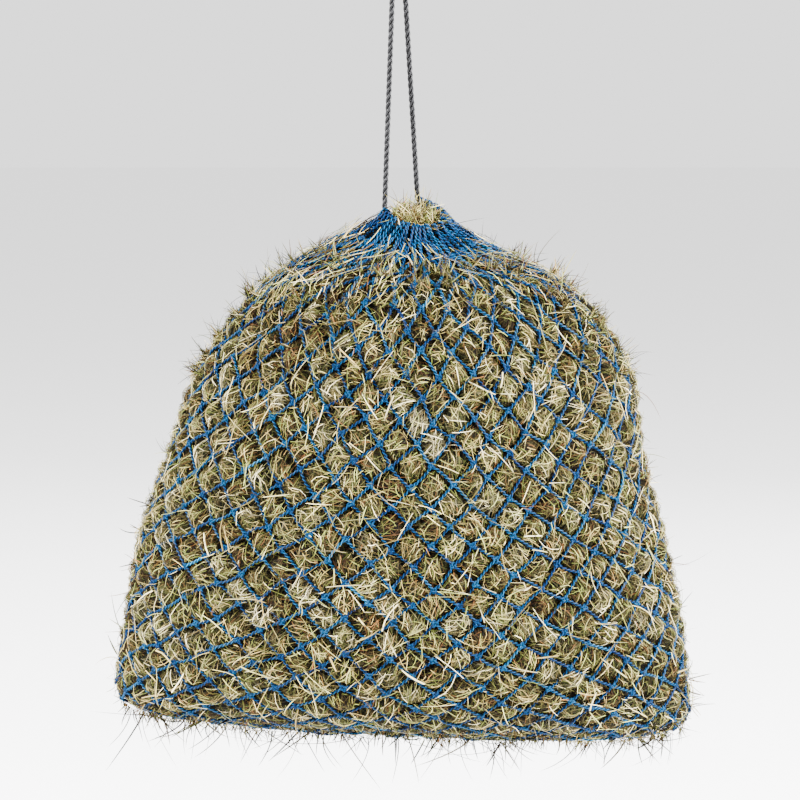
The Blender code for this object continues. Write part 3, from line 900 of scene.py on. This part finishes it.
def wisps(count, low, high, lean, length, width, hue, light, fall=0.0, clump=1):
    """Stalks that stick out of the bag between two stations. Lean is their angle out of its surface.

    Fall is how much they point down as well. The stalks of a clump stand about a centimetre apart.
    """
    clumps = scattered(math.ceil(count / clump), low, high)
    turn, station = (np.repeat(places, clump)[:count] for places in clumps)
    turn = turn + rng.normal(0, CLUMP_TURN, count)
    around, down = (unit(slope) for slope in bag_slopes(turn, station))
    normal = unit(np.cross(down, around))
    heading = rng.uniform(0, math.tau, (count, 1))
    angle = np.radians(rng.uniform(*lean, (count, 1)))
    flat = np.cos(heading) * around + np.sin(heading) * down
    directions = unit(np.cos(angle) * flat + np.sin(angle) * normal + [0, 0, -fall])
    roots = bag_points(turn, station) + WISP_ROOT * normal
    return stalks(roots, directions, length, width, STALK_CURL, hue, light)


def tuft(count, reach, rise, length, hue, light):
    """Hay in the mouth. Reach is its half width in the opening, and rise how much its straws stand up."""
    centre = np.array(MOUTH_CENTRE) + TUFT_OFFSET
    opening = np.array([1, 0, MOUTH_SLOPE[0]]), np.array([0, 1, MOUTH_SLOPE[1]])
    out = unit(np.cross(*opening))
    angle = rng.uniform(0, math.tau, (count, 1))
    radius = reach * np.sqrt(rng.uniform(0, 1, (count, 1)))
    across, back = radius * np.cos(angle), DEPTH_TO_WIDTH * radius * np.sin(angle)
    depth = rng.uniform(*TUFT_DEPTH, (count, 1))
    roots = centre + across * opening[0] + back * opening[1] + depth * out
    directions = unit(rng.normal(0, 1, (count, 3)) * TUFT_FLATTENING + rise * out)
    return stalks(roots, directions, length, TUFT_WIDTH, TUFT_CURL, hue, light)


def add_straws(name, layers, replaced):
    """Straws of all layers, from the top of the bag down, in pieces of a limited size."""
    lines, across, half_width, hue, light = (np.concatenate(values) for values in zip(*layers))
    order = np.argsort(-lines[:, SORTING_PLACE, 2])
    triangles = 2 * STRAW_SIDES * (lines.shape[1] - 2)
    pieces = math.ceil(len(order) * triangles / PIECE_TRIANGLES)
    for number, part in enumerate(np.array_split(order, pieces), start=1):
        thickness = STRAW_FLATNESS * half_width[part]
        points, faces, uv = tubes(
            lines[part], across[part], half_width[part], thickness, STRAW_SIDES, hue[part], light[part]
        )
        add_mesh(f"{name}_{number}", points, faces, uv, "hay", "net", replaced)


def add_core():
    """The mass of hay under the straws, in its own hues but painted near black as shade, darkest in the
    valleys.
    """
    turns = np.linspace(0, 1, CORE_COLUMNS + 1)
    stations = np.linspace(0, LAST_STATION, CORE_LEVELS)
    turn, station = np.meshgrid(turns, stations)
    full = fullness(turn, station)
    inset = CORE_INSET + CORE_MOUTH_INSET * nearness_to_mouth(station)
    height = PILLOW_VALLEY + PILLOW_RISE * full - inset
    points = bag_points(turn, station) + height[..., None] * bag_normals(turn, station)
    index = np.arange(turn.size).reshape(turn.shape)
    quads = np.stack([index[:-1, :-1], index[1:, :-1], index[1:, 1:], index[:-1, 1:]], axis=-1).reshape(-1, 4)
    top_middle, bottom_middle = points[0, :-1].mean(axis=0), points[-1, :-1].mean(axis=0)
    middles = np.stack([top_middle + [0, 0, CORE_LID_RISE], bottom_middle])
    top, bottom = index.size, index.size + 1
    lid = np.stack([np.full(CORE_COLUMNS, top), index[0, :-1], index[0, 1:]], axis=-1)
    floor = np.stack([np.full(CORE_COLUMNS, bottom), index[-1, 1:], index[-1, :-1]], axis=-1)
    light = CORE_VALLEY_SHADE + (CORE_CREST_SHADE - CORE_VALLEY_SHADE) * full
    hue = rng.uniform(*CORE_HUE_RANGE, height.shape)
    uv = np.concatenate([np.stack([hue, light], axis=-1).reshape(-1, 2), [CORE_LID_UV, CORE_LID_UV]])
    points = np.concatenate([points.reshape(-1, 3), middles])
    add_mesh("hay_core", points, [quads, np.concatenate([lid, floor])], uv, "hay", "net", HAY_NODES)


def straw_layers():
    # The coarse bed lies lowest, so its light range is low: painted shade
    coarse_bed = packed_straws(
        14000,
        length=(0.014, 0.034),
        width=(0.0010, 0.0020),
        lift=(-0.0060, -0.0020),
        hue=(0.02, 0.62),
        light=(0.05, 0.45),
    )
    fine_hay = packed_straws(
        125000,
        length=(0.008, 0.026),
        width=(0.0003, 0.0008),
        lift=(-0.0045, 0.0020),
        hue=(0.0, 0.90),
        light=(0.12, 1.0),
    )
    # Pale hues, with a high light range that paints highlights on the top of the hay
    highlit_pale_tips = packed_straws(
        4500,
        length=(0.010, 0.032),
        width=(0.0004, 0.0008),
        lift=(0.0, 0.0030),
        hue=(0.30, 1.0),
        light=(0.88, 1.0),
    )
    over_twine = loose_straws(
        2000,
        length=(0.016, 0.050),
        width=(0.0005, 0.0011),
        lift=(0.0, 0.004),
        hue=(0.3, 1.0),
        light=(0.6, 1.0),
    )
    flat_blades = loose_straws(
        110,
        length=(0.020, 0.045),
        width=(0.0015, 0.0026),
        lift=(0.0, 0.003),
        hue=(0.45, 1.0),
        light=(0.7, 0.95),
    )
    on_shoulder = loose_straws(
        650,
        length=(0.012, 0.036),
        width=(0.0005, 0.0012),
        lift=(0.0, 0.006),
        hue=(0.0, 0.95),
        light=(0.3, 1.0),
        low=0.8,
        high=2.6,
    )
    # Straws under the loops get a low light range: painted shade
    under_loops = loose_straws(
        1500,
        length=(0.010, 0.030),
        width=(0.0008, 0.0018),
        lift=(-0.010, -0.003),
        hue=(0.0, 0.6),
        light=(0.1, 0.6),
        low=0.05,
        high=1.6,
    )
    return [coarse_bed, fine_hay, highlit_pale_tips, over_twine, flat_blades, on_shoulder, under_loops]


def stalk_layers():
    edge = BASE_EDGE_STATION
    fuzz = wisps(
        3000,
        low=2.0,
        high=edge,
        lean=(8, 60),
        length=(0.008, 0.024),
        width=(0.0007, 0.0014),
        hue=(0.0, 0.95),
        light=(0.4, 1.0),
    )
    shoulder_tufts = wisps(
        2400,
        low=1.2,
        high=4.0,
        lean=(35, 85),
        length=(0.012, 0.036),
        width=(0.0009, 0.0018),
        hue=(0.0, 0.9),
        light=(0.2, 0.85),
        clump=9,
    )
    long_stalks = wisps(
        500,
        low=1.2,
        high=edge,
        lean=(25, 75),
        length=(0.020, 0.050),
        width=(0.0010, 0.0020),
        hue=(0.0, 0.7),
        light=(0.3, 0.85),
        clump=3,
    )
    base_fringe = wisps(
        1600,
        low=edge - 0.5,
        high=edge + 2,
        lean=(10, 80),
        length=(0.008, 0.024),
        width=(0.0010, 0.0019),
        hue=(0.0, 0.6),
        light=(0.2, 0.8),
        fall=0.6,
        clump=8,
    )
    hanging_stalks = wisps(
        330,
        low=edge,
        high=edge + 2,
        lean=(5, 70),
        length=(0.030, 0.075),
        width=(0.0014, 0.0032),
        hue=(0.0, 0.6),
        light=(0.1, 0.55),
        fall=0.3,
        clump=3,
    )
    tuft_bed = tuft(900, reach=0.031, rise=0.3, length=(0.010, 0.030), hue=(0.05, 0.98), light=(0.4, 1.0))
    tuft_tips = tuft(150, reach=0.030, rise=2.2, length=(0.016, 0.042), hue=(0.0, 0.9), light=(0.4, 0.95))
    return [fuzz, shoulder_tufts, long_stalks, base_fringe, hanging_stalks, tuft_bed, tuft_tips]


def add_hay():
    add_core()
    add_straws("hay_straws", straw_layers(), HAY_NODES)
    add_straws("hay_stalks", stalk_layers(), HAY_NODES)


add_hay()


# --- Room and light -------------------------------------------------------------------------------

FLOOR_HEIGHT = -1.45
FLOOR_HALF_SIZE = 40
WORLD_STRENGTH = 1.9


FLOOR_COLOUR = (0.93, 0.93, 0.93, 1)
FLOOR_ROUGHNESS = 0.9
# Name, place, width across and power of each light
LIGHTS = [
    ("left", (-4.4, -1.8, 1.5), 1.2, 2300),
    ("right", (4.4, -1.8, 1.5), 1.2, 3300),
    ("key", (-1.8, -4.6, 2.2), 0.5, 180),
    ("back", (1.0, 4.6, 1.9), 1.2, 200),
]


def add_light(name, location, size, power):
    data = bpy.data.lights.new(name, "AREA")
    data.shape = "DISK"
    data.size = size
    data.energy = power
    light = bpy.data.objects.new(name, data)
    light.location = location
    light.rotation_euler = (Vector(location) - AIM).to_track_quat("Z", "Y").to_euler()
    collection.objects.link(light)


def add_world():
    world = bpy.data.worlds.new("studio")
    world.use_nodes = True
    background = world.node_tree.nodes["Background"]
    background.inputs["Color"].default_value = (1, 1, 1, 1)
    background.inputs["Strength"].default_value = WORLD_STRENGTH
    bpy.context.scene.world = world


def add_floor():
    pale = bpy.data.materials.new("pale_floor")
    pale.use_nodes = True
    shader = pale.node_tree.nodes["Principled BSDF"]
    shader.inputs["Base Color"].default_value = FLOOR_COLOUR
    shader.inputs["Roughness"].default_value = FLOOR_ROUGHNESS
    mesh = bpy.data.meshes.new("floor")
    size = FLOOR_HALF_SIZE
    corners = [(-size, -size, 0), (size, -size, 0), (size, size, 0), (-size, size, 0)]
    mesh.from_pydata(corners, [], [(0, 1, 2, 3)])
    mesh.materials.append(pale)
    floor = bpy.data.objects.new("floor", mesh)
    floor.location.z = FLOOR_HEIGHT
    collection.objects.link(floor)


def add_room():
    add_world()
    add_floor()
    for light in LIGHTS:
        add_light(*light)


add_room()
